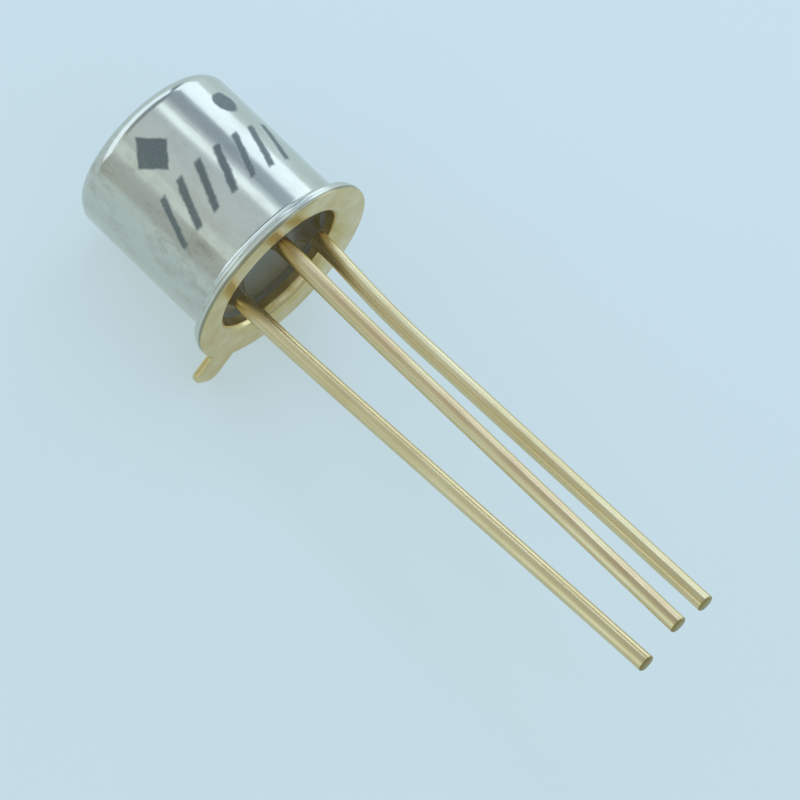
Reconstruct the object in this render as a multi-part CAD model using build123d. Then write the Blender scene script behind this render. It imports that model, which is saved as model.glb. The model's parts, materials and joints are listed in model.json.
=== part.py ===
from build123d import *

import os
from math import acos, asin, atan2, cos, degrees, hypot, radians, sin, tan

# Metal-can transistor of the three-lead TO-18 outline, resting on its side.
#
# Device frame: the origin is on the can's axis in the seating plane (the header's underside), +Z runs
# towards the can's closed top and +X towards the index tab.  Seen from the leads' side the emitter, the
# base and the collector follow clockwise from the tab.  Every piece is built in that frame, then one
# location lays them all down.  Lengths are in millimetres.

# ---- Driving dimensions -----------------------------------------------------------------------------

# Leads: gold-plated wire, two through the glass and one welded to the header
lead_radius = 0.225
lead_circle_radius = 1.27
lead_tip_chamfer = 0.02
post_height = 0.35             # emitter and base ends above the header's platform
lead_length = 13.41            # seating plane to the base lead's tip, along the can's axis
emitter_cut_back = 0.06        # how much shorter the other two leads are cut
collector_cut_back = 0.22

# Each lead has two gentle bends, one as it leaves the glass and one at the elbow
exit_straight = 0.15           # straight lead outside the glass, before the first bend
exit_bend_reach = 0.45         # half the length of the first bend
elbow_depth = 2.40             # seating plane to the second bend's corner
elbow_bend_reach = 1.30        # half the length of the second bend

# Where each lead's elbow and tip stand off a straight lead: (sideways, away from the table)
emitter_elbow_drift = (0.02, 0.07)
emitter_tip_drift = (0.27, 0.63)
base_elbow_drift = (-0.06, 0.04)
base_tip_drift = (-0.19, 0.46)
collector_elbow_drift = (-0.15, 0.01)
collector_tip_drift = (-0.10, 0.50)

# Header: one gold-plated stamping, a flange with an index tab round a cup that ends in a platform
seal_ring = 0.225              # glass between a lead and the rim of its hole in the platform
hole_land = 0.13               # metal between such a hole and the cup's wall
header_wall = 0.20             # cup wall
platform_thickness = 0.20
platform_edge_radius = 0.22
cup_height = 1.10              # seating plane to the platform's top
cup_corner_radius = 0.06       # inside, between the wall and the platform
lip_radius = 0.30              # rounded mouth of the cup
header_flange_thickness = 0.17
header_root_radius = 0.10      # between the flange and the outside of the cup
tab_length = 0.86              # beyond the flange's edge
tab_width = 1.00
tab_corner_radius = 0.30

# Glass: fills the cup under the platform and climbs each lead
glass_thickness = 0.35
meniscus_climb = 0.38
meniscus_radius = 0.30
meniscus_edge = 0.02           # thickness of the glass where it ends on the lead

# Can: nickel-plated steel, drawn with a flange that is resistance-welded to the header's
cup_gap = 0.05                 # radial clearance between the can's bore and the cup
can_wall = 0.25
can_top_thickness = 0.25
can_height = 4.95              # seating plane to the closed top
can_rim_radius = 0.45
flange_width = 0.39            # header flange beyond the can's side wall
flange_step = 0.04             # the can's flange ends short of the header's
can_flange_thickness = 0.15
can_flange_edge_radius = 0.06
can_foot_radius = 0.18         # between the side wall and its flange
can_mouth_radius = 0.12

# Chip: silicon die on a gold preform, one bond wire to each post
die_side = 0.50
die_thickness = 0.15
preform_side = 0.66
preform_thickness = 0.03
bond_offset = 0.12             # die centre to each bond
bond_ball_radius = 0.05
bond_ball_height = 0.03
wire_radius = 0.025
wire_rise = 0.24               # straight up from the ball
wire_bend_radius = 0.08
stitch_radius = 0.06
stitch_height = 0.025

# ---- Sizes that follow ------------------------------------------------------------------------------

seal_hole_radius = lead_radius + seal_ring
cup_radius = lead_circle_radius + seal_hole_radius + hole_land
cup_outer_radius = cup_radius + header_wall
can_bore_radius = cup_outer_radius + cup_gap
can_radius = can_bore_radius + can_wall
header_flange_radius = can_radius + flange_width
can_flange_radius = header_flange_radius - flange_step
can_flange_top = header_flange_thickness + can_flange_thickness
tab_reach = header_flange_radius + tab_length

platform_underside = cup_height - platform_thickness
glass_level = platform_underside - glass_thickness
meniscus_tip = glass_level - meniscus_climb
first_bend_start = meniscus_tip - exit_straight
first_bend_corner = first_bend_start - exit_bend_reach
post_top = cup_height + post_height
emitter_length = lead_length - emitter_cut_back
collector_length = lead_length - collector_cut_back
die_seat = cup_height + preform_thickness
die_top = die_seat + die_thickness

# Seen from the leads' side, the leads stand at 45, 135 and 225 degrees clockwise from the tab
emitter_angle = 45
base_angle = 135
collector_angle = 225


def tangent_lean(edge_height, edge_reach, edge_radius):
    """Lean of the axis when the can's rim and one flange edge both touch the table."""
    rise = edge_reach - (can_radius - can_rim_radius)
    run = can_height - can_rim_radius - edge_height
    return atan2(rise, run) - asin((can_rim_radius - edge_radius) / hypot(rise, run))


# The flange that reaches furthest sets how far the leads tip up
lean = max(
    tangent_lean(header_flange_thickness, header_flange_radius, 0),
    tangent_lean(
        can_flange_top - can_flange_edge_radius,
        can_flange_radius - can_flange_edge_radius,
        can_flange_edge_radius,
    ),
)
rim_drop = (can_height - can_rim_radius) * sin(lean) + (can_radius - can_rim_radius) * cos(lean)
axis_to_table = rim_drop + can_rim_radius

# The part rolls until the rounded corner of its tab touches the table too
tab_corner_out = tab_reach - tab_corner_radius
tab_corner_across = tab_width / 2 - tab_corner_radius
corner_reach = hypot(tab_corner_out, tab_corner_across)
corner_drop = (axis_to_table - header_flange_thickness * sin(lean)) / cos(lean) - tab_corner_radius
roll = acos(corner_drop / corner_reach) + atan2(tab_corner_across, tab_corner_out)

# Directions of the lying part, in the device frame
upward = Vector(-cos(roll), sin(roll), 0)
sideways = Vector(-sin(roll), -cos(roll), 0)


# ---- Pieces, in the device frame --------------------------------------------------------------------


def turned(section):
    """Solid of revolution about Z from its half section: rows of radius, height and corner rounding."""
    corners = [(radius, 0, height) for radius, height, rounding in section]
    roundings = [rounding for radius, height, rounding in section]
    outline = FilletPolyline(*corners, radius=roundings, close=True)
    return revolve(make_face(outline), Axis.Z)


def at_lead(angle, height=0):
    """Point on the lead circle, counted from the tab."""
    turn = radians(angle)
    return Vector(lead_circle_radius * cos(turn), lead_circle_radius * sin(turn), height)


def make_can():
    """Drawn cap: closed top with a rounded rim, side wall, and the foot that spreads into its flange."""
    inside_rim_radius = max(can_rim_radius - can_wall, 0)
    return turned([
        (0, can_height, 0),
        (can_radius, can_height, can_rim_radius),
        (can_radius, can_flange_top, can_foot_radius),
        (can_flange_radius, can_flange_top, can_flange_edge_radius),
        (can_flange_radius, header_flange_thickness, 0),
        (can_bore_radius, header_flange_thickness, can_mouth_radius),
        (can_bore_radius, can_height - can_top_thickness, inside_rim_radius),
        (0, can_height - can_top_thickness, 0),
    ])


def make_header_shell():
    """Stamped flange, index tab, cup and platform, with a hole for each lead that passes through."""
    body = turned([
        (0, cup_height, 0),
        (cup_outer_radius, cup_height, platform_edge_radius),
        (cup_outer_radius, header_flange_thickness, header_root_radius),
        (header_flange_radius, header_flange_thickness, 0),
        (header_flange_radius, 0, 0),
        (cup_radius, 0, lip_radius),
        (cup_radius, platform_underside, cup_corner_radius),
        (0, platform_underside, 0),
    ])
    tab_root = header_flange_radius * cos(asin(tab_width / 2 / header_flange_radius)) - flange_width / 2
    tab = Pos((tab_root + tab_reach) / 2, 0, header_flange_thickness / 2) * Box(
        tab_reach - tab_root, tab_width, header_flange_thickness
    )
    tab = fillet(tab.edges().filter_by(Axis.Z).group_by(Axis.X)[-1], tab_corner_radius)
    body += tab
    for angle in (emitter_angle, base_angle):
        hole = Cylinder(seal_hole_radius, platform_thickness)
        body -= Pos(at_lead(angle, cup_height - platform_thickness / 2)) * hole
    return body


def make_lead(angle, top, length, elbow_drift, tip_drift):
    """Round wire from its top down through the glass, then through its two gentle bends to the tip."""
    start = at_lead(angle, top)
    exit_corner = at_lead(angle, first_bend_corner)
    elbow = at_lead(angle, -elbow_depth) + sideways * elbow_drift[0] + upward * elbow_drift[1]
    tip = at_lead(angle, -length) + sideways * tip_drift[0] + upward * tip_drift[1]
    first_turn = (exit_corner - start).get_angle(elbow - exit_corner)
    second_turn = (elbow - exit_corner).get_angle(tip - elbow)
    bends = [
        exit_bend_reach / tan(radians(first_turn) / 2),
        elbow_bend_reach / tan(radians(second_turn) / 2),
    ]
    path = FilletPolyline(start, exit_corner, elbow, tip, radius=bends)
    wire = sweep(Plane(origin=start, z_dir=path % 0) * Circle(lead_radius), path=path)
    tip_edges = wire.faces().sort_by(Axis.Z)[0].edges()
    return chamfer(tip_edges, lead_tip_chamfer)


def cup_space():
    """Inside of the cup, from the menisci's tips to the platform."""
    depth = platform_underside - meniscus_tip
    return Pos(0, 0, meniscus_tip + depth / 2) * Cylinder(cup_radius, depth)


def make_glass(header, leads):
    """Glass under the platform, plugs in its holes, and a meniscus up each lead."""
    fill = Pos(0, 0, glass_level + glass_thickness / 2) * Cylinder(cup_radius, glass_thickness)
    foot = lead_radius + meniscus_edge
    meniscus = turned([
        (0, meniscus_tip, 0),
        (foot, meniscus_tip, 0),
        (foot, glass_level, meniscus_radius),
        (seal_hole_radius + meniscus_radius, glass_level, 0),
        (seal_hole_radius + meniscus_radius, platform_underside, 0),
        (0, platform_underside, 0),
    ])
    for angle in (emitter_angle, base_angle, collector_angle):
        fill += (Pos(at_lead(angle)) * meniscus) & cup_space()
    for angle in (emitter_angle, base_angle):
        plug = Cylinder(seal_hole_radius, platform_thickness)
        fill += Pos(at_lead(angle, cup_height - platform_thickness / 2)) * plug
    fill -= header
    for lead in leads:
        fill -= lead
    return fill


def make_slab(side, seat, thickness):
    """Square slab on the header's axis, square to the tab."""
    return Pos(0, 0, seat + thickness / 2) * Box(side, side, thickness)


def make_bond_wire(angle):
    """Ball bond on the die, a wire that rises and falls to the post, and the stitch on the post's top."""
    turn = radians(angle)
    outward = Vector(cos(turn), sin(turn), 0)
    bond = outward * bond_offset
    post = at_lead(angle)
    ball = Pos(bond + Vector(0, 0, die_top + bond_ball_height / 2)) * Cylinder(
        bond_ball_radius, bond_ball_height
    )
    stitch = Pos(post + Vector(0, 0, post_top + stitch_height / 2)) * Cylinder(
        stitch_radius, stitch_height
    )
    start = bond + Vector(0, 0, die_top + bond_ball_height)
    crest = start + Vector(0, 0, wire_rise)
    landing = post + Vector(0, 0, post_top + wire_radius) - outward * stitch_radius
    end = landing + outward * stitch_radius
    path = FilletPolyline(start, crest, landing, end, radius=wire_bend_radius)
    wire = sweep(Plane(origin=start, z_dir=path % 0) * Circle(wire_radius), path=path)
    return wire + ball + stitch


emitter_lead = make_lead(
    emitter_angle, post_top, emitter_length, emitter_elbow_drift, emitter_tip_drift
)
base_lead = make_lead(base_angle, post_top, lead_length, base_elbow_drift, base_tip_drift)
collector_lead = make_lead(
    collector_angle, platform_underside, collector_length, collector_elbow_drift, collector_tip_drift
)
header_shell = make_header_shell()

pieces = {
    "can": make_can(),
    "header_shell": header_shell,
    "glass_seal": make_glass(header_shell, [emitter_lead, base_lead, collector_lead]),
    "emitter_lead": emitter_lead,
    "base_lead": base_lead,
    "collector_lead": collector_lead,
    "die_preform": make_slab(preform_side, cup_height, preform_thickness),
    "transistor_die": make_slab(die_side, die_seat, die_thickness),
    "emitter_bond_wire": make_bond_wire(emitter_angle),
    "base_bond_wire": make_bond_wire(base_angle),
}

# ---- Lay the part down ------------------------------------------------------------------------------

# World frame: the leads run towards +X and tip up by the lean, the tab is on the -Y side, the table is
# z = 0, and the origin is under the middle of the whole part
towards_top = Vector(-cos(lean), 0, -sin(lean))
towards_table = Vector(sin(lean), 0, -cos(lean))
towards_tab = towards_table * cos(roll) + Vector(0, -1, 0) * sin(roll)
laid = Plane(origin=(0, 0, axis_to_table), x_dir=towards_tab, z_dir=towards_top).location
bounds = Compound([laid * piece for piece in pieces.values()]).bounding_box()
resting = Pos(-bounds.center().X, -bounds.center().Y, 0) * laid

os.makedirs("parts", exist_ok=True)
for name, piece in pieces.items():
    export_step(resting * piece, f"parts/{name}.step")

print(f"lean {degrees(lean):.2f} deg, roll {degrees(roll):.2f} deg, axis {axis_to_table:.3f} above table")
size = bounds.size
print(f"lowest point {bounds.min.Z:.4f}, size {size.X:.2f} x {size.Y:.2f} x {size.Z:.2f}")
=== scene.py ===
# %% [markdown]
# # A small metal-can transistor, lying on its side
#
# The real object is about 18 mm long: a nickel-plated steel cap, welded to a gold-plated header whose cup
# is filled with dark glass, and three gold-plated wire leads.  The CAD model gives every size.  This lesson
# dresses it: each visible piece becomes one smooth closed surface worked out with numpy, and each gets a
# material that starts from the real metal or glass and the way it was made.

# %% Load the CAD frame
import json
import math

import bpy
import numpy as np
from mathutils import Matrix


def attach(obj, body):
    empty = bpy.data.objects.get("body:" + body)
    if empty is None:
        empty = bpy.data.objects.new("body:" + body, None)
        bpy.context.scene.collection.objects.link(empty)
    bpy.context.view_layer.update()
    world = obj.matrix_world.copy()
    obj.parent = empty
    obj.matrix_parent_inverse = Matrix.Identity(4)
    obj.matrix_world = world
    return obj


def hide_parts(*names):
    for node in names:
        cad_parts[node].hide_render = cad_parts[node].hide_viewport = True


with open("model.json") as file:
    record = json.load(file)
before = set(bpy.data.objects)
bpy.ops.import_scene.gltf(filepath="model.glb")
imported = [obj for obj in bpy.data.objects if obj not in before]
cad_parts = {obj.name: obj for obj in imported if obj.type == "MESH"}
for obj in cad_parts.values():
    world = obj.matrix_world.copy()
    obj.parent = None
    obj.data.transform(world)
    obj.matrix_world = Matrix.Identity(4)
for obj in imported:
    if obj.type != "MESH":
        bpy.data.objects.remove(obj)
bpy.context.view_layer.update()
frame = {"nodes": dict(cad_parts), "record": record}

MM = 0.001
print("CAD pieces:", ", ".join(sorted(frame["nodes"])))

# %% [markdown]
# ## The maker's axes
#
# The part lies tilted on the table, but its pieces are easiest to describe upright, as on a drawing: the
# origin in the seating plane, +Z along the can's axis to the closed top, +X towards the index tab.  The
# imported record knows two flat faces, the seating plane and the can's top.  Their places and directions
# give the three axes, so nothing has to be fitted by eye.

# %% Find the axes of the part in the world
mounts = {mount["name"]: mount for mount in frame["record"]["mounts"]}
can_top = np.array(mounts["can_top"]["pos_m"]) / MM
seat_point = np.array(mounts["seating_plane"]["pos_m"]) / MM
AXIS = np.array(mounts["can_top"]["axis"])
AXIS /= np.linalg.norm(AXIS)
CAN_HEIGHT = float((can_top - seat_point) @ AXIS)
ORIGIN = can_top - CAN_HEIGHT * AXIS
TO_TAB = (ORIGIN - seat_point) / np.linalg.norm(ORIGIN - seat_point)
ACROSS = np.cross(AXIS, TO_TAB)


def place(points):
    """World points in metres: origin + x to_tab + y across + z axis, for drawing points in millimetres."""
    return (ORIGIN + points @ np.array([TO_TAB, ACROSS, AXIS])) * MM


print(f"can {CAN_HEIGHT:.2f} mm tall, axis {np.round(AXIS, 3)}, tab {np.round(TO_TAB, 3)}")

# %% [markdown]
# ## Camera
#
# A long lens close to the part keeps the can and the leads nearly free of perspective.  The camera looks
# down from the leads' side and is rolled, so the part runs from the upper left to the lower right.

# %% Make the camera
LENS_MM, SENSOR_MM = 213.4, 36.0
CAMERA_AT_MM = (21.755, -38.757, 107.958)
CAMERA_TURNS = (21.757, -7.060, 46.289)
camera_data = bpy.data.cameras.new("camera")
camera_data.lens = LENS_MM
camera_data.sensor_width = SENSOR_MM
camera_data.clip_start = 0.01
camera_data.clip_end = 10.0
camera = bpy.data.objects.new("camera", camera_data)
camera.location = np.array(CAMERA_AT_MM) * MM
camera.rotation_euler = np.radians(CAMERA_TURNS)
bpy.context.scene.collection.objects.link(camera)
bpy.context.scene.camera = camera
print("camera", tuple(round(c, 4) for c in camera.location))

# %% [markdown]
# ## Helpers
#
# Colours are written as the hex values of a paint chart and turned to linear light by one function.  One
# small function adds a node with its settings and its links, so each material reads as a list of steps.

# %% Helpers for colours and nodes


def linear(hex_colour):
    """Linear colour of an sRGB hex value: c/12.92 up to 0.04045, else ((c + 0.055)/1.055)^2.4."""
    value = np.array([int(hex_colour[i:i + 2], 16) for i in (1, 3, 5)]) / 255
    low, high = value / 12.92, ((value + 0.055) / 1.055) ** 2.4
    return (*np.where(value <= 0.04045, low, high), 1.0)


def add_node(tree, kind, inputs, **settings):
    """Adds a node, sets its fields, and gives each input a value, or a link from a socket or a node."""
    node = tree.nodes.new(kind)
    for field, value in settings.items():
        setattr(node, field, value)
    for key, value in inputs.items():
        if isinstance(value, bpy.types.Node):
            value = value.outputs[0]
        if isinstance(value, bpy.types.NodeSocket):
            tree.links.new(value, node.inputs[key])
        else:
            node.inputs[key].default_value = value
    return node


def new_material(name, **constants):
    """A material whose Principled shader has these constants; returns it with its tree and shader."""
    material = bpy.data.materials.new(name)
    material.use_nodes = True
    shader = material.node_tree.nodes["Principled BSDF"]
    for socket, value in constants.items():
        shader.inputs[socket.replace("_", " ")].default_value = value
    return material, material.node_tree, shader


def drawing_point(tree, turn=0.0, stretch=(1, 1, 1)):
    """The drawing's own point in mm, turned about the axis by degrees, then stretched."""
    point = add_node(tree, "ShaderNodeAttribute", {}, attribute_name="drawing_mm").outputs["Vector"]
    turned = add_node(tree, "ShaderNodeMapping", {
        "Vector": point, "Rotation": (0, 0, math.radians(turn))})
    return add_node(tree, "ShaderNodeMapping", {"Vector": turned, "Scale": stretch})


def falling_edge(edge, softness=0.05):
    """Range that is 1 under the edge and 0 over it, softness on either side of it."""
    return {"From Min": edge - softness, "From Max": edge + softness, "To Min": 1.0, "To Max": 0.0}


def rising_edge(edge, softness=0.05):
    """Range that is 0 under the edge and 1 over it, softness on either side of it."""
    return {"From Min": edge - softness, "From Max": edge + softness}


print("helpers ready; mid grey is", round(linear("#808080")[0], 3))

# %% [markdown]
# ## One mesh builder for every piece
#
# The can, the header, the glass and the leads are all closed shells: rings of points between two poles.
# Only the formula of the rings differs.  The builder joins ring to ring with quads and closes each end
# with a fan.  It checks the enclosed volume, so that faces point outwards, and it keeps each point's
# drawing coordinates as an attribute, which the materials read.

# %% Build a closed shell from rings


def closed_shell(name, rings, first_pole, last_pole, sharp_degrees=35):
    """Object from rings of shape (rows, columns, 3) and two pole points, all in drawing mm."""
    rows, columns = rings.shape[:2]
    drawing = np.vstack([rings.reshape(-1, 3), first_pole, last_pole])
    world = place(drawing)
    row, column = np.meshgrid(np.arange(rows - 1), np.arange(columns), indexing="ij")
    after = (column + 1) % columns
    quads = np.stack([
        row * columns + column, row * columns + after,
        (row + 1) * columns + after, (row + 1) * columns + column], -1).reshape(-1, 4)
    around = np.arange(columns)
    ahead = (around + 1) % columns
    last_row = (rows - 1) * columns
    first = np.full(columns, rows * columns)
    fans = np.vstack([
        np.stack([first, ahead, around], -1),
        np.stack([first + 1, last_row + around, last_row + ahead], -1)])
    triangles = np.vstack([quads[:, [0, 1, 2]], quads[:, [0, 2, 3]], fans])
    a, b, c = (world[triangles[:, k]] for k in range(3))
    volume = np.einsum("ij,ij->", a, np.cross(b, c)) / 6
    if volume < 0:
        quads, fans = quads[:, ::-1], fans[:, ::-1]
    mesh = bpy.data.meshes.new(name)
    mesh.from_pydata(world.tolist(), [], quads.tolist() + fans.tolist())
    attribute = mesh.attributes.new("drawing_mm", "FLOAT_VECTOR", "POINT")
    attribute.data.foreach_set("vector", drawing.astype(np.float32).ravel())
    mesh.shade_smooth()
    mesh.set_sharp_from_angle(angle=math.radians(sharp_degrees))
    piece = bpy.data.objects.new(name, mesh)
    bpy.context.scene.collection.objects.link(piece)
    print(f"{name}: {len(mesh.polygons)} faces, {abs(volume) * 1e9:.2f} cubic mm")
    return piece


def rounded_profile(corners, steps=10):
    """Outline through rows of (radius, height, rounding): each corner becomes a tangent arc.

    With the turn f between the two sides, the arc starts rounding * tan(f/2) before the corner, and a
    point on it is centre + rounding * (cos b p + sin b d), b from 0 to f, p out of the centre, d along
    the first side."""
    corners = np.array(corners, float)
    points = [corners[:1, :2]]
    for before, corner, beyond in zip(corners[:-2], corners[1:-1], corners[2:]):
        side, far_side = corner[:2] - before[:2], beyond[:2] - corner[:2]
        side, far_side = side / np.linalg.norm(side), far_side / np.linalg.norm(far_side)
        turn = math.acos(np.clip(side @ far_side, -1, 1))
        if corner[2] == 0 or turn < 1e-6:
            points.append(corner[None, :2])
            continue
        start = corner[:2] - side * corner[2] * math.tan(turn / 2)
        inward = (far_side - side) / np.linalg.norm(far_side - side)
        centre = corner[:2] + inward * corner[2] / math.cos(turn / 2)
        bend = np.linspace(0, turn, steps)[:, None]
        points.append(centre + np.cos(bend) * (start - centre) + np.sin(bend) * side * corner[2])
    points.append(corners[-1:, :2])
    return np.vstack(points)


def turned_rings(profile, columns=288):
    """Rings of a turned piece: (r cos t, r sin t, z) for each profile point and each turn t."""
    turn = np.linspace(0, 2 * math.pi, columns, endpoint=False)
    radius, height = profile[:, :1], profile[:, 1:]
    return np.stack([radius * np.cos(turn), radius * np.sin(turn), height + 0 * turn], -1)


print("mesh builder ready")

# %% [markdown]
# ## The can
#
# The cap is deep-drawn from thin steel sheet: a flat closed end, a rounded rim, a straight wall, and a
# foot that spreads into the flange where it is welded.  A turned profile gives all of that exactly.  The
# wall has an inside too, because the mesh is kept as a part in its own right.

# %% Turn the can
HUB = 0.02                     # radius of the ring next to a pole
CAN_RADIUS, CAN_BORE, CAN_FLANGE = 2.35, 2.10, 2.70
FLANGE_JOINT, FLANGE_TOP = 0.17, 0.32
CEILING = CAN_HEIGHT - 0.25
can_outline = rounded_profile([
    (HUB, CAN_HEIGHT, 0),
    (CAN_RADIUS, CAN_HEIGHT, 0.45),
    (CAN_RADIUS, FLANGE_TOP, 0.18),
    (CAN_FLANGE, FLANGE_TOP, 0.09),
    (CAN_FLANGE, FLANGE_JOINT, 0.02),
    (CAN_BORE, FLANGE_JOINT, 0.12),
    (CAN_BORE, CEILING, 0.20),
    (HUB, CEILING, 0)], steps=14)
can = closed_shell("can_cap", turned_rings(can_outline), (0, 0, CAN_HEIGHT), (0, 0, CEILING))

# %% [markdown]
# ## The header
#
# The header is one stamping: a flange with the index tab, round a cup that ends in a platform inside the
# can.  Its inside is turned, but its rim isn't a circle.  So each ring of the outer edge follows an
# outline of the flange and the tab, and the rings inside it are circles with a point at the same angle.
# The two kinds of ring meet on flat faces, where it doesn't show.

# %% Draw the rim with its tab, and carry the header's profile round it
RIM_RADIUS, TAB_REACH, TAB_HALF, TAB_CORNER = 2.74, 3.60, 0.50, 0.30
CUP_RADIUS, CUP_OUTSIDE, CUP_HEIGHT, PLATFORM = 1.85, 2.05, 1.10, 0.90
ROUND_TO_RIM = 2.16            # on the flat faces, where the circles end and the rim's outlines begin
RIM_ROUNDING = 0.03


def rim_outline(inset):
    """Rim set in by inset: half the end, a corner arc and a side of the tab, then the round, mirrored."""
    half, reach, radius = TAB_HALF - inset, TAB_REACH - inset, RIM_RADIUS - inset
    corner = TAB_CORNER - inset
    end = np.stack([np.full(4, reach), np.linspace(0, half - corner, 4)], -1)
    bend = np.linspace(0, math.pi / 2, 12)[1:]
    arc = np.stack([
        reach - corner + corner * np.cos(bend), half - corner + corner * np.sin(bend)], -1)
    root_turn = math.asin(half / radius)
    side_x = np.linspace(reach - corner, radius * math.cos(root_turn), 8)[1:]
    side = np.stack([side_x, np.full(7, half)], -1)
    turn = np.linspace(root_turn, math.pi, 140)[1:]
    round_part = np.stack([radius * np.cos(turn), radius * np.sin(turn)], -1)
    upper = np.vstack([end, arc, side, round_part])
    return np.vstack([upper, upper[-2:0:-1] * (1, -1)])


def header_rings():
    """Rings of the header, from the platform's underside out over the rim and back to its top."""
    rim_turn = np.arctan2(*rim_outline(0)[:, ::-1].T)
    circle = np.stack([np.cos(rim_turn), np.sin(rim_turn)], -1)
    inside = rounded_profile([
        (HUB, PLATFORM, 0), (CUP_RADIUS, PLATFORM, 0.06), (CUP_RADIUS, 0, 0.30),
        (ROUND_TO_RIM, 0, 0)])
    outside = rounded_profile([
        (ROUND_TO_RIM, FLANGE_JOINT, 0), (CUP_OUTSIDE, FLANGE_JOINT, 0.10),
        (CUP_OUTSIDE, CUP_HEIGHT, 0.22), (HUB, CUP_HEIGHT, 0)])
    edge, bend = RIM_ROUNDING, np.linspace(0, math.pi / 2, 6)
    insets = np.concatenate([edge * (1 - np.sin(bend)), edge * (1 - np.cos(bend))])
    heights = np.concatenate([
        edge * (1 - np.cos(bend)), FLANGE_JOINT - edge * (1 - np.sin(bend))])
    rows = [np.column_stack([circle * radius, np.full(len(circle), z)]) for radius, z in inside]
    rows += [
        np.column_stack([rim_outline(inset), np.full(len(circle), z)])
        for inset, z in zip(insets, heights)]
    rows += [np.column_stack([circle * radius, np.full(len(circle), z)]) for radius, z in outside]
    return np.array(rows)


header = closed_shell("header_stamping", header_rings(), (0, 0, PLATFORM), (0, 0, CUP_HEIGHT))

# %% [markdown]
# ## The leads
#
# Each lead is drawn wire: straight through the glass, with one gentle bend where it leaves it and one at
# an elbow, as handling leaves it.  The centre line is a formula of the depth below the seating plane: a
# straight line whose slope changes smoothly at each bend.  A circle is carried along it, closed at both
# ends, and rounded a little where the wire was cropped.  Each row of the table gives a lead's upper end,
# its length below the seat, and how far it drifts, sideways and upward, by the elbow and by the tip.

# %% Carry a circle along each lead
LEAD_RADIUS, LEAD_CIRCLE, TIP_ROUNDING = 0.225, 1.27, 0.06
LEAD_COLUMNS, ROUNDING_ROWS = 48, 6
LEAD_ANGLES = {"emitter_lead": 45, "base_lead": 135, "collector_lead": 225}
EXIT_DEPTH, EXIT_REACH = 0.43, 0.45
ELBOW_DEPTH, ELBOW_REACH = 2.40, 1.30
ROLL = math.atan2(ACROSS[2], -TO_TAB[2])
UPWARD = np.array([-math.cos(ROLL), math.sin(ROLL)])
SIDEWAYS = np.array([-math.sin(ROLL), -math.cos(ROLL)])


def smooth_ramp(x, reach):
    """0 before -reach, x after reach, and (x + reach)^2 / (4 reach) between them."""
    return np.where(x < -reach, 0, np.where(x > reach, x, (x + reach) ** 2 / (4 * reach)))


def lead_place(angle):
    """Place of a lead on the lead circle: (r cos t, r sin t), t from the tab in degrees."""
    return LEAD_CIRCLE * np.array([math.cos(math.radians(angle)), math.sin(math.radians(angle))])


def lead_rings(node, top, length, elbow_drift, tip_drift):
    """Centre line: place on the lead circle + slope1 * ramp(exit) + (slope2 - slope1) * ramp(elbow)."""
    start = lead_place(LEAD_ANGLES[node])
    elbow = elbow_drift[0] * SIDEWAYS + elbow_drift[1] * UPWARD
    tip = tip_drift[0] * SIDEWAYS + tip_drift[1] * UPWARD
    slope = elbow / (ELBOW_DEPTH - EXIT_DEPTH)
    far_slope = (tip - elbow) / (length - ELBOW_DEPTH)
    bend = np.linspace(0, math.pi / 2, ROUNDING_ROWS + 1)[1:]
    depth = np.concatenate([
        [-top], np.linspace(-top + 0.01, length - TIP_ROUNDING, 150),
        length - TIP_ROUNDING * (1 - np.sin(bend))])
    radius = np.full(len(depth), LEAD_RADIUS)
    radius[-ROUNDING_ROWS:] -= TIP_ROUNDING * (1 - np.cos(bend))

    def centre_line(at):
        return (start + slope * smooth_ramp(at - EXIT_DEPTH, EXIT_REACH)[:, None]
                + (far_slope - slope) * smooth_ramp(at - ELBOW_DEPTH, ELBOW_REACH)[:, None])

    centre = np.column_stack([centre_line(depth), -depth])
    step = 0.01
    along = np.column_stack([
        (centre_line(depth + step) - centre_line(depth - step)) / (2 * step), -np.ones(len(depth))])
    along /= np.linalg.norm(along, axis=1, keepdims=True)
    first = np.cross(along, (0, 1, 0))
    first /= np.linalg.norm(first, axis=1, keepdims=True)
    second = np.cross(along, first)
    turn = np.linspace(0, 2 * math.pi, LEAD_COLUMNS, endpoint=False)
    rings = centre[:, None] + radius[:, None, None] * (
        np.cos(turn)[None, :, None] * first[:, None] + np.sin(turn)[None, :, None] * second[:, None])
    return rings, centre[0], centre[-1]


POST_TOP = 1.45
lead_pieces = {}
for node, *shape in (
        ("emitter_lead", POST_TOP, 13.35, (0.02, 0.07), (0.27, 0.63)),
        ("base_lead", POST_TOP, 13.41, (-0.06, 0.04), (-0.19, 0.46)),
        ("collector_lead", PLATFORM, 13.19, (-0.15, 0.01), (-0.10, 0.50))):
    rings, top_pole, tip_pole = lead_rings(node, *shape)
    piece = closed_shell(node.replace("lead", "wire"), rings, top_pole, tip_pole)
    from_centre = (rings - rings.mean(axis=1, keepdims=True)).reshape(-1, 3)
    attribute = piece.data.attributes.new("from_centre_mm", "FLOAT_VECTOR", "POINT")
    attribute.data.foreach_set(
        "vector", np.vstack([from_centre, np.zeros((2, 3))]).astype(np.float32).ravel())
    lead_pieces[node] = piece

# %% [markdown]
# ## The glass seal
#
# Hard glass was melted in the cup, and its surface tension drew it up each lead and a little way up the
# cup's wall.  The surface is a height over the flat disc: level in the open, and climbing with a steep
# power of the distance near a lead or the wall.  The grid is fine enough to be smooth round each lead.

# %% Raise the glass surface round the leads
GLASS_LEVEL, LEAD_CLIMB, LEAD_SKIRT = 0.55, 0.38, 0.34
WALL_CLIMB, WALL_SKIRT = 0.10, 0.16
CLIMB_POWER = 2.6


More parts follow.
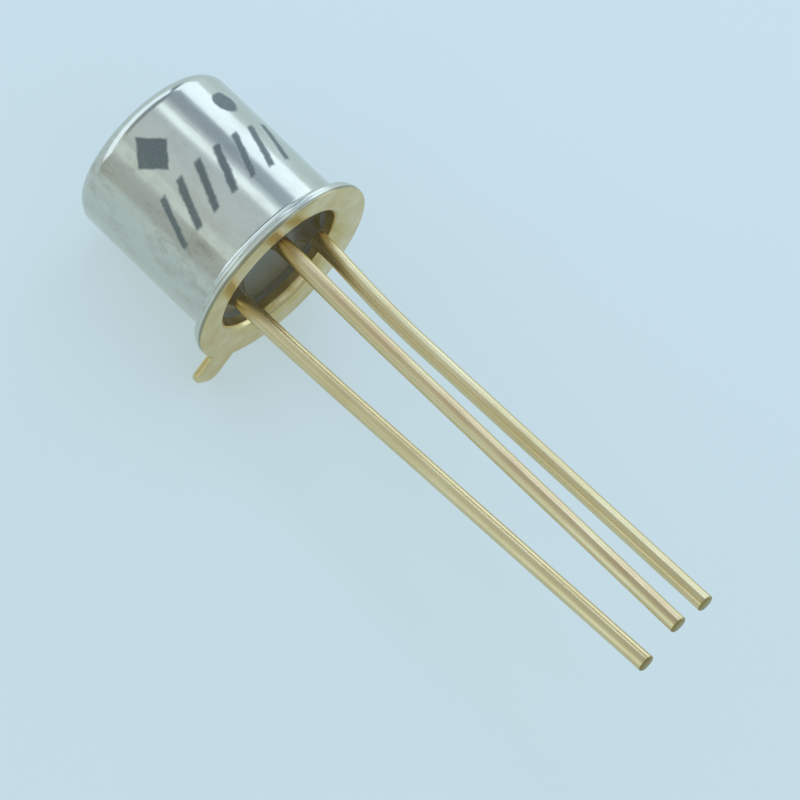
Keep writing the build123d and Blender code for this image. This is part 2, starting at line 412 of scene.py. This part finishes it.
def glass_surface(x, y):
    """Level minus climb * (1 - d/skirt)^power for the distance d to each lead's side, and to the wall."""
    height = np.full(x.shape, GLASS_LEVEL)
    for angle in LEAD_ANGLES.values():
        lead_x, lead_y = lead_place(angle)
        away = np.clip((np.hypot(x - lead_x, y - lead_y) - LEAD_RADIUS) / LEAD_SKIRT, 0, 1)
        height -= LEAD_CLIMB * (1 - away) ** CLIMB_POWER
    wall = np.clip((CUP_RADIUS - np.hypot(x, y)) / WALL_SKIRT, 0, 1)
    return height - WALL_CLIMB * (1 - wall) ** CLIMB_POWER


def glass_rings():
    """Polar grid over the disc, then down the cup's wall to the platform."""
    edge = CUP_RADIUS - 0.002
    radius = np.concatenate([np.linspace(HUB, edge, 120), [edge, HUB]])
    turn = np.linspace(0, 2 * math.pi, 360, endpoint=False)
    x, y = radius[:, None] * np.cos(turn), radius[:, None] * np.sin(turn)
    z = glass_surface(x, y)
    z[-2:] = PLATFORM
    return np.stack([x, y, z], -1)


glass = closed_shell("glass_fill", glass_rings(), (0, 0, GLASS_LEVEL), (0, 0, PLATFORM), 60)

# %% [markdown]
# ## Finish of the can: dull electroplated nickel
#
# The cap is bright-drawn steel with a few micrometres of nickel.  Nickel is a slightly warm grey metal:
# metallic 1, the default IOR, and a roughness of 0.12 to 0.19 for a satin plate, so the lamps show as
# stripes with soft edges.  The drawing die leaves faint lines along the wall, the bath leaves a fine
# unevenness, and fingers have left a cloudy tarnish, mostly in one broad streak along the side.

# %% Nickel plate
nickel, tree, shader = new_material("electroplated_nickel_on_drawn_steel", Metallic=1.0)

# Scales are features per millimetre.  The plate drifts over about 0.8 mm, and the die lines are 0.07 mm
# apart.  The bath's grain is really a few micrometres, too fine to show, so it is drawn 0.05 mm wide.
plating = add_node(tree, "ShaderNodeTexNoise", {
    "Vector": drawing_point(tree, stretch=(1, 1, 0.35)), "Scale": 1.3, "Detail": 3.0, "Roughness": 0.6})
die_lines = add_node(tree, "ShaderNodeTexNoise", {
    "Vector": drawing_point(tree, stretch=(14, 14, 0.5)), "Scale": 1.0, "Detail": 2.0})
grain = add_node(tree, "ShaderNodeTexNoise", {
    "Vector": drawing_point(tree), "Scale": 22.0, "Detail": 3.0})
roughness = add_node(tree, "ShaderNodeMapRange", {
    "Value": plating, "From Min": 0.3, "From Max": 0.7, "To Min": 0.12, "To Max": 0.19})
clean_colour = add_node(tree, "ShaderNodeMix", {
    0: plating, 6: linear("#DAD8CA"), 7: linear("#CAC9BD")}, data_type="RGBA")

# Clouds of tarnish about 0.6 mm across, strongest 1.25 mm to one side of the middle of the marked side
MARKED_TURN, STREAK_MIDDLE = 113.5, 1.25
side_point = add_node(tree, "ShaderNodeSeparateXYZ", {0: drawing_point(tree, turn=-MARKED_TURN)})
handling = add_node(tree, "ShaderNodeTexNoise", {
    "Vector": drawing_point(tree, stretch=(1, 1, 0.6)), "Scale": 1.6, "Detail": 7.0, "Roughness": 0.75})
from_streak = add_node(tree, "ShaderNodeMath", {
    0: side_point.outputs["Y"], 1: STREAK_MIDDLE}, operation="ADD")
streak_away = add_node(tree, "ShaderNodeMath", {0: from_streak}, operation="ABSOLUTE")
streak = add_node(tree, "ShaderNodeMapRange", {
    "Value": streak_away, "From Min": 0.3, "From Max": 1.1, "To Min": 0.9, "To Max": 0.30})
tarnish = add_node(tree, "ShaderNodeMapRange", {
    "Value": handling, "From Min": 0.47, "From Max": 0.68, "To Max": streak})
metal_colour = add_node(tree, "ShaderNodeMix", {
    0: tarnish, 6: clean_colour.outputs[2], 7: linear("#B4AA9B")}, data_type="RGBA")
lines_relief = add_node(tree, "ShaderNodeMath", {0: die_lines, 1: 0.6}, operation="MULTIPLY")
relief = add_node(tree, "ShaderNodeMath", {0: grain, 1: 0.4, 2: lines_relief}, operation="MULTIPLY_ADD")
bump = add_node(tree, "ShaderNodeBump", {"Height": relief, "Strength": 0.35, "Distance": 0.004 * MM})
tree.links.new(bump.outputs[0], shader.inputs["Normal"])
print("nickel:", len(tree.nodes), "nodes")

# %% [markdown]
# ## The stamp on the can
#
# Such cans are marked with grey ink from a rubber stamp.  This one has a plain mark of no meaning: a row
# of slanted bars, a diamond and a dot.  It is drawn on the wall unrolled flat, where u runs round the can
# from the middle of the marked side and v is the height, both in millimetres.  A small noise added to
# each distance makes the ragged edge of stamped ink, and the grain of the metal wears through it.

# %% Ink stamp
STAMP_EDGE = {"interpolation_type": "SMOOTHSTEP"}
BAR_PITCH, BAR_HALF_WIDTH, BAR_SLANT, BAR_SHIFT = 0.62, 0.105, 0.42, 24.8434
BAR_MIDDLE, BAR_HALF_HEIGHT = 2.18, 0.62
ROW_MIDDLE, ROW_HALF_LENGTH = 0.15, 2.15
DIAMOND_U, DIAMOND_V, DIAMOND_HALF, DIAMOND_SQUASH = -0.12, 3.72, 0.50, 0.85
DOT_CENTRE, DOT_RADIUS = (2.40, 3.70, 0), 0.34

turn_round = add_node(tree, "ShaderNodeMath", {
    0: side_point.outputs["Y"], 1: side_point.outputs["X"]}, operation="ARCTAN2")
u = add_node(tree, "ShaderNodeMath", {0: turn_round, 1: CAN_RADIUS}, operation="MULTIPLY")
v = side_point.outputs["Z"]
smear = add_node(tree, "ShaderNodeTexNoise", {"Vector": drawing_point(tree), "Scale": 5.0, "Detail": 2.0})
ragged = add_node(tree, "ShaderNodeMath", {0: smear, 1: 0.10, 2: -0.05}, operation="MULTIPLY_ADD")

# Bars: the distance to the nearest bar's middle is a ping-pong of the slanted u
slanted = add_node(tree, "ShaderNodeMath", {0: v, 1: -BAR_SLANT, 2: u}, operation="MULTIPLY_ADD")
shifted = add_node(tree, "ShaderNodeMath", {0: slanted, 1: BAR_SHIFT}, operation="ADD")
in_pitch = add_node(tree, "ShaderNodeMath", {0: shifted, 1: BAR_PITCH / 2}, operation="PINGPONG")
bar_across = add_node(tree, "ShaderNodeMath", {0: in_pitch, 1: ragged}, operation="ADD")
bar_width = add_node(tree, "ShaderNodeMapRange", {
    "Value": bar_across, **falling_edge(BAR_HALF_WIDTH)}, **STAMP_EDGE)
height_off = add_node(tree, "ShaderNodeMath", {0: v, 1: -BAR_MIDDLE}, operation="ADD")
height_away = add_node(tree, "ShaderNodeMath", {0: height_off}, operation="ABSOLUTE")
bar_along = add_node(tree, "ShaderNodeMath", {0: height_away, 1: ragged}, operation="ADD")
bar_height = add_node(tree, "ShaderNodeMapRange", {
    "Value": bar_along, **falling_edge(BAR_HALF_HEIGHT)}, **STAMP_EDGE)
row_off = add_node(tree, "ShaderNodeMath", {0: slanted, 1: -ROW_MIDDLE}, operation="ADD")
row_away = add_node(tree, "ShaderNodeMath", {0: row_off}, operation="ABSOLUTE")
row = add_node(tree, "ShaderNodeMapRange", {
    "Value": row_away, **falling_edge(ROW_HALF_LENGTH)}, **STAMP_EDGE)
bar = add_node(tree, "ShaderNodeMath", {0: bar_width, 1: bar_height}, operation="MULTIPLY")
bars = add_node(tree, "ShaderNodeMath", {0: bar, 1: row}, operation="MULTIPLY")

# Diamond: |u| + 0.85 |v| from its middle is even along its sides
diamond_u = add_node(tree, "ShaderNodeMath", {0: u, 1: -DIAMOND_U}, operation="ADD")
diamond_v = add_node(tree, "ShaderNodeMath", {0: v, 1: -DIAMOND_V}, operation="ADD")
diamond_u = add_node(tree, "ShaderNodeMath", {0: diamond_u}, operation="ABSOLUTE")
diamond_v = add_node(tree, "ShaderNodeMath", {0: diamond_v}, operation="ABSOLUTE")
diamond_away = add_node(tree, "ShaderNodeMath", {
    0: diamond_v, 1: DIAMOND_SQUASH, 2: diamond_u}, operation="MULTIPLY_ADD")
diamond_off = add_node(tree, "ShaderNodeMath", {0: diamond_away, 1: ragged}, operation="ADD")
diamond = add_node(tree, "ShaderNodeMapRange", {
    "Value": diamond_off, **falling_edge(DIAMOND_HALF)}, **STAMP_EDGE)

# Dot: the distance from its middle
unrolled = add_node(tree, "ShaderNodeCombineXYZ", {"X": u, "Y": v})
dot_away = add_node(tree, "ShaderNodeVectorMath", {0: unrolled, 1: DOT_CENTRE}, operation="DISTANCE")
dot_off = add_node(tree, "ShaderNodeMath", {0: dot_away.outputs["Value"], 1: ragged}, operation="ADD")
dot = add_node(tree, "ShaderNodeMapRange", {"Value": dot_off, **falling_edge(DOT_RADIUS)}, **STAMP_EDGE)

marks = add_node(tree, "ShaderNodeMath", {0: bars, 1: diamond}, operation="MAXIMUM")
marks = add_node(tree, "ShaderNodeMath", {0: marks, 1: dot}, operation="MAXIMUM")
worn = add_node(tree, "ShaderNodeMapRange", {
    "Value": grain, "From Min": 0.25, "From Max": 0.5, "To Min": 0.78, "To Max": 0.95})
ink = add_node(tree, "ShaderNodeMath", {0: marks, 1: worn}, operation="MULTIPLY")

# Dry ink is a dull dielectric: where it covers the plate, there is less metal and more roughness
finish_colour = add_node(tree, "ShaderNodeMix", {
    0: ink, 6: metal_colour.outputs[2], 7: linear("#666C69")}, data_type="RGBA")
metal_left = add_node(tree, "ShaderNodeMath", {0: ink, 1: -0.75, 2: 1.0}, operation="MULTIPLY_ADD")
gloss = add_node(tree, "ShaderNodeMath", {0: ink, 1: 0.25, 2: roughness}, operation="MULTIPLY_ADD")
tree.links.new(finish_colour.outputs[2], shader.inputs["Base Color"])
tree.links.new(metal_left.outputs[0], shader.inputs["Metallic"])
tree.links.new(gloss.outputs[0], shader.inputs["Roughness"])
can.data.materials.append(nickel)
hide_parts("can")
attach(can, "root")
print("nickel with its stamp:", len(tree.nodes), "nodes")

# %% [markdown]
# ## Finish of the header and the leads: thin gold plate
#
# Both are plated with a few tenths of a micrometre of gold, so thin that the nickel under it pales the
# colour.  It is a metal with the default IOR and a roughness of 0.18 to 0.31, so it gleams softly.  The
# stamping shows the fine grain of the sheet.  The wire shows lines along its length, from the die that it
# was pulled through.  Its cropped end and the rounded edge there are bare alloy and rough, and their
# colour is painted darker and browner: painted shade for the dark that the end faces mirror.

# %% Gold plate, stamped and drawn


def gold_plate(name, line_stretch, line_height, pale, deep, smooth, rough):
    """Metal whose colour drifts between pale and deep, with relief stretched the way it was formed.

    The relief has line_stretch features per mm along each drawing axis, and is line_height mm high."""
    material, tree, shader = new_material(name, Metallic=1.0)
    drift = add_node(tree, "ShaderNodeTexNoise", {
        "Vector": drawing_point(tree, stretch=(1, 1, 0.4)), "Scale": 1.1, "Detail": 4.0, "Roughness": 0.6})
    lines = add_node(tree, "ShaderNodeTexNoise", {
        "Vector": drawing_point(tree, stretch=line_stretch), "Scale": 1.0, "Detail": 3.0})
    spread = add_node(tree, "ShaderNodeMapRange", {"Value": drift, "From Min": 0.3, "From Max": 0.7})
    colour = add_node(tree, "ShaderNodeMix", {
        0: spread, 6: linear(pale), 7: linear(deep)}, data_type="RGBA")
    gloss = add_node(tree, "ShaderNodeMapRange", {
        "Value": drift, "From Min": 0.3, "From Max": 0.7, "To Min": smooth, "To Max": rough})
    relief = add_node(tree, "ShaderNodeBump", {
        "Height": lines, "Strength": 0.4, "Distance": line_height * MM})
    tree.links.new(colour.outputs[2], shader.inputs["Base Color"])
    tree.links.new(gloss.outputs[0], shader.inputs["Roughness"])
    tree.links.new(relief.outputs[0], shader.inputs["Normal"])
    return material, tree, shader, colour.outputs[2]


WIRE_LINES = ((22, 22, 0.6), 0.0008, "#E2CFA3", "#D9C392", 0.23, 0.31)
drawn_gold = gold_plate("thin_gold_plate_on_drawn_wire", *WIRE_LINES)[0]
# Cropped end: bare, rough alloy, its colour painted darker and browner as shade for the dark that it
# mirrors
cropped_end = gold_plate(
    "bare_alloy_with_painted_shade_of_cropped_wire", (30, 30, 30), 0.004, "#B4A16B", "#9C8655", 0.35, 0.5)[0]
print("gold:", len(drawn_gold.node_tree.nodes), "nodes each")

# %% [markdown]
# ## The weld round the header's edge
#
# The can was resistance-welded to the header, which browned the gold in a ring at the edge and pressed
# out a bead of bare nickel above it.  Both rings are places on the drawing: a distance out from the axis,
# and a height.  The tab reaches beyond them and keeps its gold.

# %% Header gold with its weld ring
RING_FROM, RING_TO, SEAM_FROM, BEAD_FROM = 2.68, 2.79, 0.02, 0.10
stamped_gold, tree, shader, plate_colour = gold_plate(
    "thin_gold_plate_on_stamping", (18, 18, 18), 0.002, "#E4D1A3", "#D2B873", 0.18, 0.28)
height = add_node(tree, "ShaderNodeSeparateXYZ", {0: drawing_point(tree)}).outputs["Z"]
out = add_node(tree, "ShaderNodeVectorMath", {
    0: drawing_point(tree, stretch=(1, 1, 0))}, operation="LENGTH").outputs["Value"]
beyond_face = add_node(tree, "ShaderNodeMapRange", {
    "Value": out, **rising_edge(RING_FROM, 0.02)}, **STAMP_EDGE)
within_rim = add_node(tree, "ShaderNodeMapRange", {
    "Value": out, **falling_edge(RING_TO, 0.03)}, **STAMP_EDGE)
edge_ring = add_node(tree, "ShaderNodeMath", {0: beyond_face, 1: within_rim}, operation="MULTIPLY")
above_face = add_node(tree, "ShaderNodeMapRange", {
    "Value": height, **rising_edge(SEAM_FROM, 0.02)}, **STAMP_EDGE)
above_seam = add_node(tree, "ShaderNodeMapRange", {
    "Value": height, **rising_edge(BEAD_FROM, 0.02)}, **STAMP_EDGE)
seam = add_node(tree, "ShaderNodeMath", {0: edge_ring, 1: above_face}, operation="MULTIPLY")
bead = add_node(tree, "ShaderNodeMath", {0: edge_ring, 1: above_seam}, operation="MULTIPLY")
seam_colour = add_node(tree, "ShaderNodeMix", {
    0: seam, 6: plate_colour, 7: linear("#9C967C")}, data_type="RGBA")
bead_colour = add_node(tree, "ShaderNodeMix", {
    0: bead, 6: seam_colour.outputs[2], 7: linear("#D8D6C8")}, data_type="RGBA")
tree.links.new(bead_colour.outputs[2], shader.inputs["Base Color"])
header.data.materials.append(stamped_gold)
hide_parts("header_shell")
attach(header, "root")
print("header gold:", len(tree.nodes), "nodes")

# %% [markdown]
# ## The base lead's brown patches
#
# The base lead's plate is browner in patches along its outer side.  That side is where the offset from the
# wire's centre line, kept with the mesh, points away from the can's axis.

# %% Brownish gold, and the finish of all three leads
BROWNISH_FROM = 0.19
OUTWARD = (-math.sqrt(0.5), math.sqrt(0.5), 0)
brownish_gold, tree, shader, plate_colour = gold_plate("brownish_gold_plate_on_drawn_wire", *WIRE_LINES)
from_centre = add_node(tree, "ShaderNodeAttribute", {}, attribute_name="from_centre_mm").outputs["Vector"]
outward = add_node(tree, "ShaderNodeVectorMath", {
    0: from_centre, 1: OUTWARD}, operation="DOT_PRODUCT").outputs["Value"]
outer_side = add_node(tree, "ShaderNodeMapRange", {
    "Value": outward, **rising_edge(BROWNISH_FROM, 0.03)}, **STAMP_EDGE)
patches = add_node(tree, "ShaderNodeTexNoise", {
    "Vector": drawing_point(tree, stretch=(1, 1, 0.4)), "Scale": 1.8, "Detail": 4.0})
patch_share = add_node(tree, "ShaderNodeMapRange", {
    "Value": patches, "From Min": 0.35, "From Max": 0.6, "To Min": 0.3, "To Max": 0.9})
brownish = add_node(tree, "ShaderNodeMath", {0: outer_side, 1: patch_share}, operation="MULTIPLY")
# The base lead's colour: browner in patches along its outer side
brownish_colour = add_node(tree, "ShaderNodeMix", {
    0: brownish, 6: plate_colour, 7: linear("#D2B48A")}, data_type="RGBA")
tree.links.new(brownish_colour.outputs[2], shader.inputs["Base Color"])
for node, piece in lead_pieces.items():
    piece.data.materials.append(brownish_gold if node == "base_lead" else drawn_gold)
    piece.data.materials.append(cropped_end)
    faces = piece.data.polygons
    rounded_edge = faces[-(2 + ROUNDING_ROWS) * LEAD_COLUMNS:-2 * LEAD_COLUMNS]
    flat_end = faces[-LEAD_COLUMNS:]
    for face in [*rounded_edge, *flat_end]:
        face.material_index = 1
    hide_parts(node)
    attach(piece, "root")
print("rubbed gold:", len(tree.nodes), "nodes")

# %% [markdown]
# ## Finish of the seal: dark hard glass
#
# Sealing glass of this kind is dark grey-brown and fire polished, with a few bubbles and a brown stain
# where the oxide of each lead ran into it.  It is a dielectric with an IOR of 1.5 and no light through
# it, and a thin film of dirt in the cup dulls it to a roughness of 0.32.

# %% Dark glass with a brown stain round each lead
STAIN_RADIUS, STAIN_SOFTNESS = 0.42, 0.18
seal, tree, shader = new_material("fire_polished_seal_glass", Metallic=0.0, IOR=1.5, Roughness=0.32)
blotch = add_node(tree, "ShaderNodeTexNoise", {
    "Vector": drawing_point(tree), "Scale": 2.8, "Detail": 6.0, "Roughness": 0.65})
flat_point = drawing_point(tree, stretch=(1, 1, 0))
stain = 0.0
for angle in LEAD_ANGLES.values():
    away = add_node(tree, "ShaderNodeVectorMath", {
        0: flat_point, 1: (*lead_place(angle), 0)}, operation="DISTANCE")
    near = add_node(tree, "ShaderNodeMapRange", {
        "Value": away.outputs["Value"], **falling_edge(STAIN_RADIUS, STAIN_SOFTNESS)}, **STAMP_EDGE)
    stain = add_node(tree, "ShaderNodeMath", {0: stain, 1: near}, operation="MAXIMUM")
body_colour = add_node(tree, "ShaderNodeMix", {
    0: blotch, 6: linear("#5B5545"), 7: linear("#7A7259")}, data_type="RGBA")
stained = add_node(tree, "ShaderNodeMix", {
    0: stain, 6: body_colour.outputs[2], 7: linear("#6B5A30")}, data_type="RGBA")
bubbles = add_node(tree, "ShaderNodeBump", {"Height": blotch, "Strength": 0.3, "Distance": 0.02 * MM})
tree.links.new(stained.outputs[2], shader.inputs["Base Color"])
tree.links.new(bubbles.outputs[0], shader.inputs["Normal"])
glass.data.materials.append(seal)
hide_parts("glass_seal")
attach(glass, "root")
print("glass:", len(tree.nodes), "nodes")

# %% [markdown]
# ## The chip inside
#
# The can is welded shut, so nobody sees the silicon, its preform and the two bond wires.  They still get
# the finish of the real thing, for whoever takes the can off: polished blue-grey silicon, melted gold
# foil, and bare wire.

# %% Finishes of the hidden pieces


def plain_finish(name, metallic, colours, roughness, grain_mm):
    """Colour and gloss that vary with a noise whose features are grain_mm wide."""
    material, tree, shader = new_material(name, Metallic=metallic)
    place_mm = add_node(tree, "ShaderNodeTexCoord", {}).outputs["Object"]
    noise = add_node(tree, "ShaderNodeTexNoise", {
        "Vector": place_mm, "Scale": 1 / (grain_mm * MM), "Detail": 3.0})
    colour = add_node(tree, "ShaderNodeMix", {
        0: noise, 6: linear(colours[0]), 7: linear(colours[1])}, data_type="RGBA")
    gloss = add_node(tree, "ShaderNodeMapRange", {
        "Value": noise, "To Min": roughness[0], "To Max": roughness[1]})
    tree.links.new(colour.outputs[2], shader.inputs["Base Color"])
    tree.links.new(gloss.outputs[0], shader.inputs["Roughness"])
    return material


silicon = plain_finish("polished_silicon", 0.0, ("#2A2C36", "#3A3E4C"), (0.08, 0.18), 0.12)
preform = plain_finish("melted_gold_preform", 1.0, ("#E8CB72", "#D9B452"), (0.25, 0.45), 0.08)
bond_wire = plain_finish("bare_aluminium_bond_wire", 1.0, ("#E4E4E6", "#D2D2D6"), (0.2, 0.35), 0.03)
for node, material in (
        ("transistor_die", silicon), ("die_preform", preform),
        ("emitter_bond_wire", bond_wire), ("base_bond_wire", bond_wire)):
    carried = frame["nodes"][node]
    carried.data.materials.clear()
    carried.data.materials.append(material)
print("hidden pieces finished")

# %% [markdown]
# ## Table
#
# The table is a sheet of pale blue coated card, a little glossy.  The lamps alone would light it
# unevenly, so just under half of what the eye sees of it is its own pale colour.  That share goes to
# camera, glossy and transmission rays only: it lights nothing, and the lit share keeps the shadow.

# %% Lay the table card
CARD_HALF, CARD_SHARE = 0.6, 0.45
card_mesh = bpy.data.meshes.new("table_card")
card_mesh.from_pydata(
    [(x * CARD_HALF, y * CARD_HALF, 0) for x, y in ((-1, -1), (1, -1), (1, 1), (-1, 1))],
    [], [(0, 1, 2, 3)])
card = bpy.data.objects.new("table_card", card_mesh)
bpy.context.scene.collection.objects.link(card)
paper, tree, shader = new_material("pale_blue_coated_card", Metallic=0.0, Roughness=0.3)
card_point = add_node(tree, "ShaderNodeTexCoord", {}).outputs["Object"]

# Clouds in the card's surface, about 11 mm across
clouds = add_node(tree, "ShaderNodeTexNoise", {"Vector": card_point, "Scale": 90.0, "Detail": 3.0})
paper_colour = add_node(tree, "ShaderNodeMix", {
    0: clouds, 6: linear("#D5E7EF"), 7: linear("#D9EBF2")}, data_type="RGBA")
tree.links.new(paper_colour.outputs[2], shader.inputs["Base Color"])
rays = add_node(tree, "ShaderNodeLightPath", {})
seen = add_node(tree, "ShaderNodeMath", {
    0: rays.outputs["Is Camera Ray"], 1: rays.outputs["Is Glossy Ray"]}, operation="MAXIMUM")
seen = add_node(tree, "ShaderNodeMath", {
    0: seen, 1: rays.outputs["Is Transmission Ray"]}, operation="MAXIMUM")
own_share = add_node(tree, "ShaderNodeMath", {0: seen, 1: CARD_SHARE}, operation="MULTIPLY")
glow = add_node(tree, "ShaderNodeEmission", {"Color": linear("#E2F3F4"), "Strength": 1.0})
card_surface = add_node(tree, "ShaderNodeMixShader", {0: own_share, 1: shader, 2: glow})
tree.links.new(card_surface.outputs[0], tree.nodes["Material Output"].inputs["Surface"])
card_mesh.materials.append(paper)
print("card", 2 * CARD_HALF, "m wide")

# %% [markdown]
# ## Light
#
# A polished cylinder shows its surroundings as stripes, so each lamp is placed for the stripe it makes.
# The sky is even and dim, a little cooler on the far side, with a darker patch beyond the closed end.
# That patch draws the thin dark line inside the end's bright edge.  The side box, low beside the part,
# draws the broad bright stripe.  The high strip and the near strip draw two slimmer ones, the end box
# lights the rounded closed end, and the front box the header.  Large lamps make a faint, wide shadow.
# Three small boxes stand 6 to 12 cm away: the can and the leads tilt differently to the eye, so a box
# that close shows in one and not in the other.

# %% Light the tent
FLAG_FROM, FLAG_TO, FLAG_SHARE = -0.64, -0.50, 0.28
world = bpy.data.worlds.new("tent")
bpy.context.scene.world = world
world.use_nodes = True
tree = world.node_tree
sky = tree.nodes["Background"]
direction = add_node(tree, "ShaderNodeSeparateXYZ", {
    0: add_node(tree, "ShaderNodeTexCoord", {}).outputs["Generated"]})
far_side = add_node(tree, "ShaderNodeMapRange", {
    "Value": direction.outputs["Y"], "From Min": -0.8, "From Max": 0.8})
sky_colour = add_node(tree, "ShaderNodeMix", {
    0: far_side, 6: linear("#B6C3C5"), 7: linear("#A0B5CB")}, data_type="RGBA")
flagged = add_node(tree, "ShaderNodeMapRange", {
    "Value": direction.outputs["X"],
    "From Min": FLAG_FROM, "From Max": FLAG_TO, "To Min": FLAG_SHARE, "To Max": 0.0})
flagged_sky = add_node(tree, "ShaderNodeMix", {
    0: flagged, 6: sky_colour.outputs[2], 7: linear("#3C4650")}, data_type="RGBA")
tree.links.new(flagged_sky.outputs[2], sky.inputs["Color"])
sky.inputs["Strength"].default_value = 1.0


def soft_box(name, azimuth, elevation, width, height, radiance, colour, distance=0.4):
    """Area lamp facing the part from a direction in degrees; its power is pi * radiance * area.

    Width, height and distance are in metres, and radiance 1 looks white."""
    a, e = math.radians(azimuth), math.radians(elevation)
    towards = np.array([math.cos(a) * math.cos(e), math.sin(a) * math.cos(e), math.sin(e)])
    lamp = bpy.data.lights.new(name, "AREA")
    lamp.shape, lamp.size, lamp.size_y = "RECTANGLE", width, height
    lamp.energy = math.pi * radiance * width * height
    lamp.color = linear(colour)[:3]
    box = bpy.data.objects.new(name, lamp)
    side = np.array([-math.sin(a), math.cos(a), 0])
    up = np.cross(towards, side)
    turn = np.eye(4)
    turn[:3, 0], turn[:3, 1], turn[:3, 2], turn[:3, 3] = side, up, towards, towards * distance
    box.matrix_world = turn.T
    bpy.context.scene.collection.objects.link(box)


soft_box("side_box", 97, 14.0, 0.56, 0.205, 1.25, "#DDEFFF")
soft_box("end_box", 188, 18, 0.80, 0.215, 1.25, "#D4E9FF")
soft_box("front_box", 0, 50, 0.50, 0.25, 0.25, "#E4F2FF")
soft_box("high_strip", 133, 53.5, 0.16, 0.058, 0.82, "#E4F6FF")
soft_box("near_strip", -118, 35.5, 0.40, 0.11, 0.38, "#DEF6FC")
soft_box("can_top_box", 180, 63, 0.16, 0.036, 0.28, "#E4F2FF", distance=0.12)
soft_box("lead_side_box", 109, 50, 0.024, 0.050, 1.4, "#C0DCFF", distance=0.078)
soft_box("lead_near_box", -96, 15, 0.020, 0.034, 0.8, "#D0E8FF", distance=0.063)

# %% View settings
bpy.context.scene.view_settings.view_transform = "Standard"
